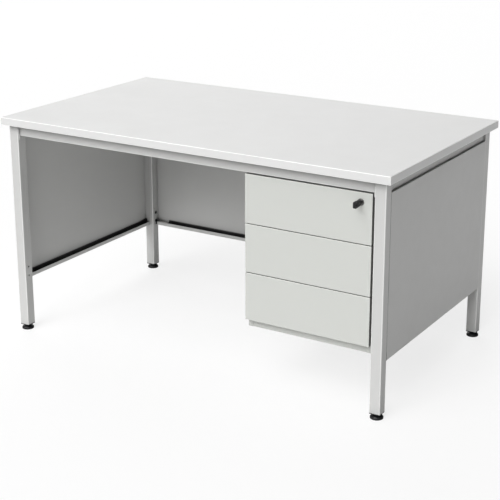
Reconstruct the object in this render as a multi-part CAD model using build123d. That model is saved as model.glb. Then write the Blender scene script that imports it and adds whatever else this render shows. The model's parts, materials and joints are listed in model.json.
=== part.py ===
from build123d import *
import os

# Teacher desk: a welded square-tube frame with folded sheet panels, a laminated top
# and a hanging pedestal with three drawers, the upper one with a lock and its key.
# Millimetres. The origin is on the floor under the centre of the top; +X is the
# pedestal side, -Y the side where the teacher sits, +Z up.

# ---------------------------------------------------------------- driving dimensions

TOP_WIDTH = 1400.0
TOP_DEPTH = 800.0
DESK_HEIGHT = 740.0
TOP_THICKNESS = 25.0
BAND_THICKNESS = 2.0          # plastic band around the board
BAND_RADIUS = 1.9             # its rounded arris

LEG_SIZE = 35.0
LEG_WALL = 2.0
LEG_CORNER = 3.0
LEG_OVERHANG_X = 20.0         # top edge to leg face
LEG_OVERHANG_Y = 18.0
LEG_BOTTOM = 19.5
LEG_HOLE_HEIGHTS = (193.0, 225.0)
LEG_HOLE_RADIUS = 3.3         # core hole of an M8 thread
PANEL_HOLE_SLACK = 0.4          # the panel holes are larger by this

RAIL_HEIGHT = 35.0
RAIL_THICKNESS = 20.0
RAIL_WALL = 1.5
RAIL_CORNER = 2.5
END_PLATE = (3.0, 29.0, 47.0)  # thickness, width, height of the front rail's end plates
TAB_LENGTH = 30.0
TAB_REACH = 22.0
TAB_THICKNESS = 3.0
FRONT_TAB_X = (-560.0, -170.0)
BACK_TAB_X = (-560.0, -190.0, 190.0, 560.0)
LEFT_TAB_Y = (-200.0, 200.0)
RIGHT_TAB_Y = (270.0,)
TAB_HOLE_RADIUS = 2.8
TAB_SCREW = (2.5, 20.0, 5.0, 3.0)      # shank radius, length, head radius, head height

PANEL_BOTTOM = 177.0
PANEL_TOP = 680.0
PANEL_FOLD = 20.0             # width of the inward folds
PANEL_LIP = 13.0              # up-turned edge of the bottom fold
SHEET = 1.2
BEND_RADIUS = 2.0
LIP_NOTCH = 9.0               # the back panel's lip stops this far from the leg
CLOSING_PLATE_END = 53.0      # end of the plate over the bottom fold, from the leg's inner face
SCREW_EAR_REACH = 31.5        # end fold, from the outer face, where the screws go through
SCREW_EAR_TOP = 242.0
PLATE_CORNER = 2.0
PANEL_SCREW = (3.3, 10.0, 6.0, 3.2)

CAP_FLANGE = 3.0
CAP_PLUG = 25.0
CAP_CLEARANCE = 0.1
CAP_PLUG_CORNER = 0.9
FOOT_RADIUS = 20.0
FOOT_EDGE = 1.0
FOOT_RIM_TOP = 5.0
FOOT_SHOULDER = (17.0, 9.0)    # radius and height where the pad ends
COLLAR_FOOT = (9.0, 11.5)      # lower end of the collar
COLLAR_RADIUS = 8.0
FOOT_TOP = 16.2
STUD_RADIUS = 4.0
STUD_TOP = 40.0
STUD_CLEARANCE = 0.1

PEDESTAL_LEFT = 220.0
PEDESTAL_WIDTH = 415.0
PEDESTAL_BOTTOM = 191.5
PEDESTAL_DEPTH = 550.0
BOTTOM_SET_BACK = 2.0         # front edge of the bottom board behind the sides' edges
SIDE_BOARD = 16.0
SHELF_BOARD = 18.0
BACK_BOARD = 8.0
RAIL_TO_PEDESTAL = 0.5
ASSEMBLY_SCREW = (2.5, 50.0, 5.0, 3.0)
HANGING_SCREW = (2.5, 33.0, 5.0, 3.0)
ASSEMBLY_INSET_Y = 50.0
HANGING_INSET_X = 40.0
HANGING_INSET_Y = 90.0

DRAWER_COUNT = 3
FRONT_THICKNESS = 18.0
FRONT_HEIGHT = 150.0
FRONT_PITCH = 153.0
FRONT_TOP = 675.0
FRONT_ARRIS = 1.0
BOX_RAISE = 16.0              # box bottom above the front's lower edge
BOX_HEIGHT = 90.0
BOX_LENGTH = 500.0
BOX_BOARD = 12.0
BOTTOM_BOARD = 6.0
BOTTOM_RAISE = 10.0
GROOVE_DEPTH = 5.0
BUMPER_RADIUS = 4.0
BUMPER_DROP = 20.0            # below the front's upper edge
BUMPER_GAP = 0.1

RUNNER_GAP = 12.5             # drawer side to pedestal side
RUNNER_STEEL = 1.2
RUNNER_FOOT = 10.0            # under the drawer side
RUNNER_FLANGE = 6.5           # over the front roller
TRACK_WIDTH = 10.4            # under the rear roller
KEEPER_WIDTH = 5.2            # over the rear roller
KEEPER_SLACK = 0.2
CABINET_RUNNER_INSET = 2.0    # behind the pedestal's front edge
ROLLER_RADIUS = 9.0
ROLLER_WIDTH = 7.0
AXLE_RADIUS = 2.5
AXLE_CLEARANCE = 0.08
AXLE_LENGTH = 9.0
AXLE_ROOT = 0.5               # part of the axle inside its web
ROLLER_GAP = 3.0              # roller to pedestal side
ROLLER_ROUND = 0.6
FLANGE_CLEARANCE = 0.4
FRONT_ROLLER_INSET = 12.0
REAR_ROLLER_INSET = 14.0

STRIKE_HALF_WIDTH = 12.0
STRIKE_INSET = 1.0
STRIKE_STEEL = 2.0
STRIKE_DROP = 29.0
STRIKE_SEAT = 19.0

LOCK_SIDE_INSET = 36.0        # lock axis from the front's right edge
LOCK_TOP_INSET = 28.0         # and from its upper edge
LOCK_RING_RADIUS = 10.5
LOCK_BODY_RADIUS = 9.0
LOCK_BORE_RADIUS = 6.0
LOCK_RING_DEPTH = 2.5
LOCK_BODY_DEPTH = 23.5
PLUG_CLEARANCE = 0.06
PLUG_PROUD = 0.3              # plug in front of the ring
PLUG_TAIL = 0.5               # and behind the housing
TAIL_HALF = 2.5               # square that carries the cam
RING_ROUND = 1.0
CAM_THICKNESS = 2.0
CAM_REACH = 36.0
CAM_HALF_WIDTH = 7.0
CAM_TIP_ROUND = 4.0
KEY_THICKNESS = 2.0
KEY_HEIGHT = 7.6
KEYWAY_CLEARANCE = 0.15
KEYWAY_END_SLACK = 0.5
KEY_INSERTION = 23.0
KEY_PIVOT_REACH = 13.5        # pivot pin in front of the drawer front
KEY_PIN_RADIUS = 1.5
BOW_THICKNESS = 8.0
BOW_HEIGHT = 19.0
BOW_REACH = 28.0              # from the pivot pin to the tip
BOW_CORNER = 5.0
BOW_NECK = 5.0                # from the pivot pin to the grip
KNUCKLE_RADIUS = 8.5
EYE_RADIUS = 4.5
EYE_SLACK = 0.2
RING_HOLE_RADIUS = 2.2        # hole for a key ring, near the tip of the bow
RING_HOLE_INSET = 6.5
PIN_SLACK = 0.06
PIN_HEAD = 0.3
KEY_NOTCHES = (0.8, 1.6, 1.1, 1.9)
KEY_NOTCH_PITCH = 4.0
KEY_NOTCH_WIDTH = 2.2
FIRST_KEY_NOTCH = 5.0

# ---------------------------------------------------------------- derived levels and planes

UNDERSIDE = DESK_HEIGHT - TOP_THICKNESS
LEG_X = TOP_WIDTH / 2 - LEG_OVERHANG_X - LEG_SIZE / 2
LEG_Y = TOP_DEPTH / 2 - LEG_OVERHANG_Y - LEG_SIZE / 2
LEG_OUTER_X = LEG_X + LEG_SIZE / 2
LEG_OUTER_Y = LEG_Y + LEG_SIZE / 2
LEG_INNER_X = LEG_X - LEG_SIZE / 2
LEG_INNER_Y = LEG_Y - LEG_SIZE / 2
RAIL_INNER_X = LEG_X - RAIL_THICKNESS / 2
RAIL_INNER_Y = LEG_Y - RAIL_THICKNESS / 2

PEDESTAL_RIGHT = PEDESTAL_LEFT + PEDESTAL_WIDTH
PEDESTAL_CENTRE = (PEDESTAL_LEFT + PEDESTAL_RIGHT) / 2
PEDESTAL_FRONT = -RAIL_INNER_Y + RAIL_TO_PEDESTAL
PEDESTAL_REAR = PEDESTAL_FRONT + PEDESTAL_DEPTH
CABINET_RUNNER_FRONT = PEDESTAL_FRONT + CABINET_RUNNER_INSET
CAVITY_HALF = PEDESTAL_WIDTH / 2 - SIDE_BOARD
BOX_HALF = CAVITY_HALF - RUNNER_GAP

FRONT_FACE = -(LEG_Y + RAIL_THICKNESS / 2)
FRONT_REAR = FRONT_FACE + FRONT_THICKNESS
BOX_REAR = FRONT_REAR + BOX_LENGTH

LOCK_X = PEDESTAL_RIGHT - LOCK_SIDE_INSET
LOCK_Z = FRONT_TOP - LOCK_TOP_INSET
KEY_PIVOT_Y = FRONT_FACE - KEY_PIVOT_REACH
PLUG_FRONT = FRONT_FACE - LOCK_RING_DEPTH - PLUG_PROUD
PLUG_REAR = FRONT_FACE + LOCK_BODY_DEPTH + PLUG_TAIL
TAIL_SQUARE = ((LOCK_X - TAIL_HALF, LOCK_X + TAIL_HALF), (LOCK_Z - TAIL_HALF, LOCK_Z + TAIL_HALF))


# ---------------------------------------------------------------- helpers

def block(x, y, z):
    """Block between two limits on each axis, given in either order."""
    sizes = [abs(limits[1] - limits[0]) for limits in (x, y, z)]
    centre = [(limits[0] + limits[1]) / 2 for limits in (x, y, z)]
    return Pos(*centre) * Box(*sizes)


def rod(start, end, radius):
    """Round rod between two points."""
    run = Vector(*end) - Vector(*start)
    plane = Plane(origin=start, z_dir=run)
    return extrude(plane * Circle(radius), amount=run.length)


def screw_blank(seat, direction, shank_radius, length, head_radius, head_height):
    """Screw without its socket: the shank leaves the seat along direction, the head stands behind."""
    low = (Align.CENTER, Align.CENTER, Align.MIN)
    high = (Align.CENTER, Align.CENTER, Align.MAX)
    shank = Cylinder(shank_radius, length, align=low)
    head = Cylinder(head_radius, head_height, align=high)
    head = fillet(head.edges().sort_by(Axis.Z)[0], head_height * 0.5)
    return Plane(origin=seat, z_dir=direction).location * (shank + head)


def screw(seat, direction, shank_radius, length, head_radius, head_height):
    """Screw with a hexagon socket in its head."""
    socket = extrude(RegularPolygon(head_radius * 0.5, 6), amount=head_height * 0.6)
    socket = Plane(origin=seat, z_dir=direction).location * Pos(0, 0, -head_height) * socket
    return screw_blank(seat, direction, shank_radius, length, head_radius, head_height) - socket


def all_solids(shapes):
    """Every solid in a list of shapes."""
    return [solid for shape in shapes for solid in shape.solids()]


def save(name, *shapes):
    """Write one sub-part to its STEP file."""
    solids = all_solids(shapes)
    whole = solids[0] if len(solids) == 1 else Compound(solids)
    export_step(whole, f"parts/{name}.step")


def mirrored(shape):
    """The same piece on the other side of the pedestal's middle plane."""
    return mirror(shape, about=Plane(origin=(PEDESTAL_CENTRE, 0, 0), z_dir=(1, 0, 0)))


# ---------------------------------------------------------------- tabletop

def tabletop_board():
    """Laminated board inside the edge bands."""
    half_x = TOP_WIDTH / 2 - BAND_THICKNESS
    half_y = TOP_DEPTH / 2 - BAND_THICKNESS
    return block((-half_x, half_x), (-half_y, half_y), (UNDERSIDE, DESK_HEIGHT))


def tabletop_edge_bands():
    """Four bands with rounded outer arrises; the long ones cover the ends of the short ones."""
    half_x = TOP_WIDTH / 2
    half_y = TOP_DEPTH / 2
    seam_y = half_y - BAND_THICKNESS
    levels = (UNDERSIDE, DESK_HEIGHT)
    outer = block((-half_x, half_x), (-half_y, half_y), levels)
    outer = fillet(outer.edges().filter_by(Axis.Z), BAND_RADIUS)
    rims = outer.edges().group_by(Axis.Z)
    outer = fillet(rims[0] + rims[-1], BAND_RADIUS)
    ring = outer - tabletop_board()
    front = ring & block((-half_x, half_x), (-half_y, -seam_y), levels)
    back = ring & block((-half_x, half_x), (seam_y, half_y), levels)
    left = ring & block((-half_x, 0), (-seam_y, seam_y), levels)
    right = ring & block((0, half_x), (-seam_y, seam_y), levels)
    return [front, back, left, right]


# ---------------------------------------------------------------- legs and rails

def leg(side_x, side_y):
    """Square tube leg with two threaded holes in its inner face."""
    outer = RectangleRounded(LEG_SIZE, LEG_SIZE, LEG_CORNER)
    hollow = LEG_SIZE - 2 * LEG_WALL
    inner = RectangleRounded(hollow, hollow, LEG_CORNER - LEG_WALL)
    tube = extrude(outer - inner, amount=UNDERSIDE - LEG_BOTTOM)
    tube = Pos(side_x * LEG_X, side_y * LEG_Y, LEG_BOTTOM) * tube
    for height in LEG_HOLE_HEIGHTS:
        start = (side_x * (LEG_INNER_X - 1), side_y * LEG_Y, height)
        end = (side_x * (LEG_INNER_X + LEG_WALL + 1), side_y * LEG_Y, height)
        tube -= rod(start, end, LEG_HOLE_RADIUS)
    return tube


def rail(start, end):
    """Rectangular tube under the top, between two points of its centre line."""
    run = Vector(*end) - Vector(*start)
    across = run.cross(Vector(0, 0, 1))
    plane = Plane(origin=start, x_dir=across, z_dir=run)
    outer = RectangleRounded(RAIL_THICKNESS, RAIL_HEIGHT, RAIL_CORNER)
    inner = RectangleRounded(
        RAIL_THICKNESS - 2 * RAIL_WALL, RAIL_HEIGHT - 2 * RAIL_WALL, RAIL_CORNER - RAIL_WALL
    )
    return extrude(plane * (outer - inner), amount=run.length)


def rails():
    """The four rails by name; the front one stops at its end plates."""
    level = UNDERSIDE - RAIL_HEIGHT / 2
    front_end = LEG_INNER_X - END_PLATE[0]
    return {
        "front_rail": rail((-front_end, -LEG_Y, level), (front_end, -LEG_Y, level)),
        "back_rail": rail((-LEG_INNER_X, LEG_Y, level), (LEG_INNER_X, LEG_Y, level)),
        "left_rail": rail((-LEG_X, -LEG_INNER_Y, level), (-LEG_X, LEG_INNER_Y, level)),
        "right_rail": rail((LEG_X, -LEG_INNER_Y, level), (LEG_X, LEG_INNER_Y, level)),
    }


def front_rail_end_plates():
    """Plates between the front rail's ends and the front legs."""
    thickness, width, height = END_PLATE
    plates = []
    for side in (-1, 1):
        plate = block(
            (side * (LEG_INNER_X - thickness), side * LEG_INNER_X),
            (-LEG_Y - width / 2, -LEG_Y + width / 2),
            (UNDERSIDE - height, UNDERSIDE),
        )
        plates.append(fillet(plate.edges().filter_by(Axis.X), PLATE_CORNER))
    return plates


def tab_places():
    """Where the fixing tabs leave their rails: a point and the inward direction."""
    places = [(x, -RAIL_INNER_Y, 0, 1) for x in FRONT_TAB_X]
    places += [(x, RAIL_INNER_Y, 0, -1) for x in BACK_TAB_X]
    places += [(-RAIL_INNER_X, y, 1, 0) for y in LEFT_TAB_Y]
    places += [(RAIL_INNER_X, y, -1, 0) for y in RIGHT_TAB_Y]
    return places


def top_fixing():
    """Fixing tabs on the rails, and where the screws go up through them into the top."""
    tabs = []
    seats = []
    for x, y, step_x, step_y in tab_places():
        half_x = TAB_LENGTH / 2 * abs(step_y)
        half_y = TAB_LENGTH / 2 * abs(step_x)
        tab = block(
            (x - half_x, x + half_x + step_x * TAB_REACH),
            (y - half_y, y + half_y + step_y * TAB_REACH),
            (UNDERSIDE - TAB_THICKNESS, UNDERSIDE),
        )
        hole_x = x + step_x * TAB_REACH / 2
        hole_y = y + step_y * TAB_REACH / 2
        low = UNDERSIDE - TAB_THICKNESS
        tab -= rod((hole_x, hole_y, low - 1), (hole_x, hole_y, UNDERSIDE + 1), TAB_HOLE_RADIUS)
        tabs.append(tab)
        seats.append(((hole_x, hole_y, low), (0, 0, 1), *TAB_SCREW))
    return tabs, seats


# ---------------------------------------------------------------- sheet panels

def tray(plane, length):
    """Folded panel: outer sheet, top fold, bottom fold with a lip; plane x points inwards."""
    points = [
        (0, PANEL_BOTTOM),
        (PANEL_FOLD, PANEL_BOTTOM),
        (PANEL_FOLD, PANEL_BOTTOM + PANEL_LIP),
        (PANEL_FOLD - SHEET, PANEL_BOTTOM + PANEL_LIP),
        (PANEL_FOLD - SHEET, PANEL_BOTTOM + SHEET),
        (SHEET, PANEL_BOTTOM + SHEET),
        (SHEET, PANEL_TOP - SHEET),
        (PANEL_FOLD, PANEL_TOP - SHEET),
        (PANEL_FOLD, PANEL_TOP),
        (0, PANEL_TOP),
    ]
    tight = BEND_RADIUS - SHEET
    radii = [BEND_RADIUS, BEND_RADIUS, 0, 0, tight, tight, tight, 0, 0, BEND_RADIUS]
    profile = make_face(FilletPolyline(*points, radius=radii, close=True))
    return extrude(plane * profile, amount=length)


def side_panel(side):
    """Panel between the two legs of one side, with end folds that lie against the legs."""
    plane = Plane(
        origin=(side * LEG_OUTER_X, side * -LEG_INNER_Y, 0),
        x_dir=(-side, 0, 0),
        z_dir=(0, side, 0),
    )
    panel = tray(plane, 2 * LEG_INNER_Y)
    fold_x = (side * (LEG_OUTER_X - SHEET), side * (LEG_OUTER_X - PANEL_FOLD))
    for end in (-1, 1):
        fold_y = (end * (LEG_INNER_Y - SHEET), end * LEG_INNER_Y)
        panel += block(fold_x, fold_y, (PANEL_BOTTOM + SHEET, PANEL_TOP - SHEET))
    return panel


def back_panel():
    """Modesty panel between the rear legs, with screw ears and closed corners of its bottom fold."""
    plane = Plane(origin=(LEG_INNER_X, LEG_OUTER_Y, 0), x_dir=(0, -1, 0), z_dir=(-1, 0, 0))
    panel = tray(plane, 2 * LEG_INNER_X)
    outer = LEG_OUTER_Y - SHEET
    lip_y = LEG_OUTER_Y - PANEL_FOLD
    lip_top = PANEL_BOTTOM + PANEL_LIP
    for end in (-1, 1):
        fold_x = (end * (LEG_INNER_X - SHEET), end * LEG_INNER_X)
        panel += block(fold_x, (lip_y, outer), (PANEL_BOTTOM + SHEET, PANEL_TOP - SHEET))
        reach = LEG_OUTER_Y - SCREW_EAR_REACH
        screw_ear = block(fold_x, (reach, lip_y + 1), (PANEL_BOTTOM + SHEET, SCREW_EAR_TOP))
        for height in LEG_HOLE_HEIGHTS:
            start = (end * (LEG_INNER_X - 5), LEG_Y, height)
            stop = (end * (LEG_INNER_X + 5), LEG_Y, height)
            hole = rod(start, stop, LEG_HOLE_RADIUS + PANEL_HOLE_SLACK)
            screw_ear -= hole
            panel -= hole
        panel += screw_ear
        closing_plate = block(
            (end * (LEG_INNER_X - LIP_NOTCH), end * (LEG_INNER_X - CLOSING_PLATE_END)),
            (lip_y + SHEET / 2, outer),
            (lip_top - SHEET, lip_top),
        )
        panel += closing_plate
        panel -= block(
            (end * (LEG_INNER_X - SHEET), end * (LEG_INNER_X - LIP_NOTCH)),
            (lip_y - 1, lip_y + SHEET),
            (PANEL_BOTTOM + BEND_RADIUS, lip_top + 1),
        )
    return panel


def back_panel_screws():
    """Screws through the back panel's end folds into the rear legs."""
    screws = []
    for end in (-1, 1):
        for height in LEG_HOLE_HEIGHTS:
            seat = (end * (LEG_INNER_X - SHEET), LEG_Y, height)
            screws.append(screw(seat, (end, 0, 0), *PANEL_SCREW))
    return screws


# ---------------------------------------------------------------- leg ends

def leg_end_cap(side_x, side_y):
    """Plastic cap: a flange under the tube and a plug inside it, bored for the foot's stud."""
    flange = extrude(RectangleRounded(LEG_SIZE, LEG_SIZE, LEG_CORNER), amount=-CAP_FLANGE)
    plug_size = LEG_SIZE - 2 * LEG_WALL - 2 * CAP_CLEARANCE
    plug = extrude(RectangleRounded(plug_size, plug_size, CAP_PLUG_CORNER), amount=CAP_PLUG)
    cap = Pos(side_x * LEG_X, side_y * LEG_Y, LEG_BOTTOM) * (flange + plug)
    low = (side_x * LEG_X, side_y * LEG_Y, 0)
    high = (side_x * LEG_X, side_y * LEG_Y, LEG_BOTTOM + CAP_PLUG + 1)
    return cap - rod(low, high, STUD_RADIUS + STUD_CLEARANCE)


def levelling_foot(side_x, side_y):
    """Round foot with its collar and threaded stud, turned about its own axis."""
    outline = [
        (0, 0),
        (FOOT_RADIUS - FOOT_EDGE, 0),
        (FOOT_RADIUS, FOOT_EDGE),
        (FOOT_RADIUS, FOOT_RIM_TOP),
        FOOT_SHOULDER,
        COLLAR_FOOT,
        (COLLAR_RADIUS, FOOT_TOP),
        (STUD_RADIUS, FOOT_TOP),
        (STUD_RADIUS, STUD_TOP - 1),
        (STUD_RADIUS - 1, STUD_TOP),
        (0, STUD_TOP),
    ]
    profile = make_face(Polyline(*outline, close=True))
    foot = revolve(Plane.XZ * profile, axis=Axis.Z)
    return Pos(side_x * LEG_X, side_y * LEG_Y, 0) * foot


# ---------------------------------------------------------------- pedestal

def pedestal_boards():
    """Boards of the pedestal, before their screw holes."""
    inner_left = PEDESTAL_LEFT + SIDE_BOARD
    inner_right = PEDESTAL_RIGHT - SIDE_BOARD
    depth = (PEDESTAL_FRONT, PEDESTAL_REAR)
    heights = (PEDESTAL_BOTTOM, UNDERSIDE)
    inside = (inner_left, inner_right)
    bottom_depth = (PEDESTAL_FRONT + BOTTOM_SET_BACK, PEDESTAL_REAR)
    bottom_top = PEDESTAL_BOTTOM + SHELF_BOARD
    top_bottom = UNDERSIDE - SHELF_BOARD
    back_depth = (PEDESTAL_REAR - BACK_BOARD, PEDESTAL_REAR)
    return {
        "pedestal_left_side": block((PEDESTAL_LEFT, inner_left), depth, heights),
        "pedestal_right_side": block((inner_right, PEDESTAL_RIGHT), depth, heights),
        "pedestal_top": block(inside, depth, (top_bottom, UNDERSIDE)),
        "pedestal_bottom": block(inside, bottom_depth, (PEDESTAL_BOTTOM, bottom_top)),
        "pedestal_back": block(inside, back_depth, (bottom_top, top_bottom)),
    }


def pedestal_screw_seats():
    """Screws through the sides into the shelves, and screws that hang the pedestal from the top."""
    sunk = ASSEMBLY_SCREW[3]
    seats = []
    for height in (PEDESTAL_BOTTOM + SHELF_BOARD / 2, UNDERSIDE - SHELF_BOARD / 2):
        for y in (PEDESTAL_FRONT + ASSEMBLY_INSET_Y, PEDESTAL_REAR - ASSEMBLY_INSET_Y):
            seats.append(((PEDESTAL_LEFT + sunk, y, height), (1, 0, 0), *ASSEMBLY_SCREW))
            seats.append(((PEDESTAL_RIGHT - sunk, y, height), (-1, 0, 0), *ASSEMBLY_SCREW))
    for x in (PEDESTAL_LEFT + HANGING_INSET_X, PEDESTAL_RIGHT - HANGING_INSET_X):
        for y in (PEDESTAL_FRONT + HANGING_INSET_Y, PEDESTAL_REAR - HANGING_INSET_Y):
            seats.append(((x, y, UNDERSIDE - SHELF_BOARD), (0, 0, 1), *HANGING_SCREW))
    return seats


def lock_strike():
    """Angle under the pedestal top; the lock's cam turns up behind its hanging leaf."""
    ceiling = UNDERSIDE - SHELF_BOARD
    width = (LOCK_X - STRIKE_HALF_WIDTH, LOCK_X + STRIKE_HALF_WIDTH)
    front = PEDESTAL_FRONT + STRIKE_INSET
    leaf = block(width, (front, front + STRIKE_STEEL), (ceiling - STRIKE_DROP, ceiling))
    seat = block(width, (front, front + STRIKE_SEAT), (ceiling - STRIKE_STEEL, ceiling))
    return leaf + seat


def drawer_bumpers():
    """Round pads on the pedestal's front edges, two for each drawer."""
    pads = []
    thickness = PEDESTAL_FRONT - FRONT_REAR - BUMPER_GAP
    for number in range(DRAWER_COUNT):
        height = front_bottom(number) + FRONT_HEIGHT - BUMPER_DROP
        for x in (PEDESTAL_LEFT + SIDE_BOARD / 2, PEDESTAL_RIGHT - SIDE_BOARD / 2):
            start = (x, PEDESTAL_FRONT, height)
            pads.append(rod(start, (x, PEDESTAL_FRONT - thickness, height), BUMPER_RADIUS))
    return pads


# ---------------------------------------------------------------- drawers and runners

def front_bottom(number):
    """Lower edge of a drawer front, counted from the upper drawer as 0."""
    return FRONT_TOP - FRONT_HEIGHT - number * FRONT_PITCH


def drawer_front(number):
    """Overlay front board with a softened front edge."""
    low = front_bottom(number)
    board = block(
        (PEDESTAL_LEFT, PEDESTAL_RIGHT), (FRONT_FACE, FRONT_REAR), (low, low + FRONT_HEIGHT)
    )
    return fillet(board.faces().sort_by(Axis.Y)[0].edges(), FRONT_ARRIS)


def drawer_boards(number):
    """Bottom, back and the two sides of a drawer; the sides are grooved for the bottom."""
    low = front_bottom(number) + BOX_RAISE
    high = low + BOX_HEIGHT
    inner = BOX_HALF - BOX_BOARD
    length = (FRONT_REAR, BOX_REAR)
    floor_low = low + BOTTOM_RAISE
    floor_high = floor_low + BOTTOM_BOARD
    centre = PEDESTAL_CENTRE
    span = inner + GROOVE_DEPTH
    bottom = block((centre - span, centre + span), length, (floor_low, floor_high))
    side = block((centre + inner, centre + BOX_HALF), length, (low, high)) - bottom
    back = block((centre - inner, centre + inner), (BOX_REAR - BOX_BOARD, BOX_REAR), (floor_high, high))
    return bottom, back, [mirrored(side), side]


def roller_level(number):
    """Height of the roller axles of a drawer."""
    return front_bottom(number) + BOX_RAISE + ROLLER_RADIUS + FLANGE_CLEARANCE - RUNNER_STEEL


def drawer_runner(number):
    """Right-hand drawer member: foot under the side, web, rolling flange and rear axle."""
    level = roller_level(number)
    side_face = PEDESTAL_CENTRE + BOX_HALF
    web_outer = side_face + RUNNER_STEEL
    underside = front_bottom(number) + BOX_RAISE
    flange_low = level + ROLLER_RADIUS + FLANGE_CLEARANCE
    flange_high = flange_low + RUNNER_STEEL
    length = (FRONT_REAR, BOX_REAR)
    web = block((side_face, web_outer), length, (underside - RUNNER_STEEL, flange_high))
    foot = block((side_face - RUNNER_FOOT, web_outer), length, (underside - RUNNER_STEEL, underside))
    flange = block((side_face, side_face + RUNNER_FLANGE), length, (flange_low, flange_high))
    axle_y = BOX_REAR - REAR_ROLLER_INSET
    axle = rod(
        (web_outer - AXLE_ROOT, axle_y, level), (web_outer + AXLE_LENGTH, axle_y, level), AXLE_RADIUS
    )
    return web + foot + flange + axle


def cabinet_runner(number):
    """Right-hand cabinet member: channel on the pedestal side with the front axle."""
    level = roller_level(number)
    wall = PEDESTAL_CENTRE + CAVITY_HALF
    web_inner = wall - RUNNER_STEEL
    low = level - ROLLER_RADIUS - FLANGE_CLEARANCE
    high = level + ROLLER_RADIUS + FLANGE_CLEARANCE + KEEPER_SLACK
    length = (CABINET_RUNNER_FRONT, CABINET_RUNNER_FRONT + BOX_LENGTH)
    web = block((web_inner, wall), length, (low - RUNNER_STEEL, high + RUNNER_STEEL))
    track = block((wall - TRACK_WIDTH, wall), length, (low - RUNNER_STEEL, low))
    keeper = block((wall - KEEPER_WIDTH, wall), length, (high, high + RUNNER_STEEL))
    axle_y = length[0] + FRONT_ROLLER_INSET
    axle = rod(
        (web_inner + AXLE_ROOT, axle_y, level), (web_inner - AXLE_LENGTH, axle_y, level), AXLE_RADIUS
    )
    return web + track + keeper + axle


def roller(y, level):
    """Right-hand roller with rounded rims, on an axle along X."""
    inner_x = PEDESTAL_CENTRE + CAVITY_HALF - ROLLER_GAP - ROLLER_WIDTH
    wheel = rod((inner_x, y, level), (inner_x + ROLLER_WIDTH, y, level), ROLLER_RADIUS)
    wheel = fillet(wheel.edges().filter_by(GeomType.CIRCLE), ROLLER_ROUND)
    bore_radius = AXLE_RADIUS + AXLE_CLEARANCE
    bore = rod((inner_x - 1, y, level), (inner_x + ROLLER_WIDTH + 1, y, level), bore_radius)
    return wheel - bore


def roller_pair(y, level):
    """The two rollers of one axle line, one on each side of the drawer."""
    right = roller(y, level)
    return [mirrored(right), right]


# ---------------------------------------------------------------- lock and key

def lock_point(y):
    """Point of the lock's axis at a depth."""
    return (LOCK_X, y, LOCK_Z)


def lock_hole():
    """Hole through the upper drawer front for the lock body."""
    return rod(lock_point(FRONT_FACE - 1), lock_point(FRONT_REAR + 1), LOCK_BODY_RADIUS)


def lock_housing():
    """Ring on the drawer front and body through it, bored for the plug."""
    ring = rod(lock_point(FRONT_FACE - LOCK_RING_DEPTH), lock_point(FRONT_FACE), LOCK_RING_RADIUS)
    ring = fillet(ring.edges().sort_by(Axis.Y)[0], RING_ROUND)
    body = rod(lock_point(FRONT_FACE), lock_point(FRONT_FACE + LOCK_BODY_DEPTH), LOCK_BODY_RADIUS)
    bore_start = lock_point(FRONT_FACE - LOCK_RING_DEPTH - 1)
    bore_end = lock_point(FRONT_FACE + LOCK_BODY_DEPTH + 1)
    return ring + body - rod(bore_start, bore_end, LOCK_BORE_RADIUS)


def lock_plug():
    """Turning core with its keyway, and the square tail that carries the cam."""
    core = rod(lock_point(PLUG_FRONT), lock_point(PLUG_REAR), LOCK_BORE_RADIUS - PLUG_CLEARANCE)
    tail = block(TAIL_SQUARE[0], (PLUG_REAR, PLUG_REAR + CAM_THICKNESS), TAIL_SQUARE[1])
    half_width = KEY_THICKNESS / 2 + KEYWAY_CLEARANCE
    half_height = KEY_HEIGHT / 2 + KEYWAY_CLEARANCE
    keyway = block(
        (LOCK_X - half_width, LOCK_X + half_width),
        (PLUG_FRONT - 1, PLUG_FRONT + KEY_INSERTION + KEYWAY_END_SLACK),
        (LOCK_Z - half_height, LOCK_Z + half_height),
    )
    return core + tail - keyway


def lock_cam():
    """Flat lever on the plug's tail, lying to the left when unlocked."""
    depth = (PLUG_REAR, PLUG_REAR + CAM_THICKNESS)
    hub = rod(lock_point(depth[0]), lock_point(depth[1]), CAM_HALF_WIDTH)
    arm = block((LOCK_X - CAM_REACH, LOCK_X), depth, (LOCK_Z - CAM_HALF_WIDTH, LOCK_Z + CAM_HALF_WIDTH))
    arm = fillet(arm.edges().filter_by(Axis.Y).group_by(Axis.X)[0], CAM_TIP_ROUND)
    hole = block(TAIL_SQUARE[0], (PLUG_REAR - 1, PLUG_REAR + CAM_THICKNESS + 1), TAIL_SQUARE[1])
    return hub + arm - hole


def across_lock(half, y, height=LOCK_Z):
    """Two points on a line along X, on both sides of the lock's middle plane."""
    return (LOCK_X - half, y, height), (LOCK_X + half, y, height)


def key_blade():
    """Flat key shank from the keyway to the eye for the pivot pin."""
    front = PLUG_FRONT
    half = KEY_THICKNESS / 2
    thickness = (LOCK_X - half, LOCK_X + half)
    top = LOCK_Z + KEY_HEIGHT / 2
    shank = block(thickness, (KEY_PIVOT_Y, front + KEY_INSERTION), (LOCK_Z - KEY_HEIGHT / 2, top))
    eye = rod(*across_lock(half, KEY_PIVOT_Y), EYE_RADIUS)
    blade = shank + eye - rod(*across_lock(half + 1, KEY_PIVOT_Y), KEY_PIN_RADIUS + PIN_SLACK)
    for index, depth in enumerate(KEY_NOTCHES):
        notch_y = front + FIRST_KEY_NOTCH + KEY_NOTCH_PITCH * index
        notch = block(
            (thickness[0] - 1, thickness[1] + 1),
            (notch_y, notch_y + KEY_NOTCH_WIDTH),
            (top - depth, top + 1),
        )
        blade -= notch
    return blade


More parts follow.
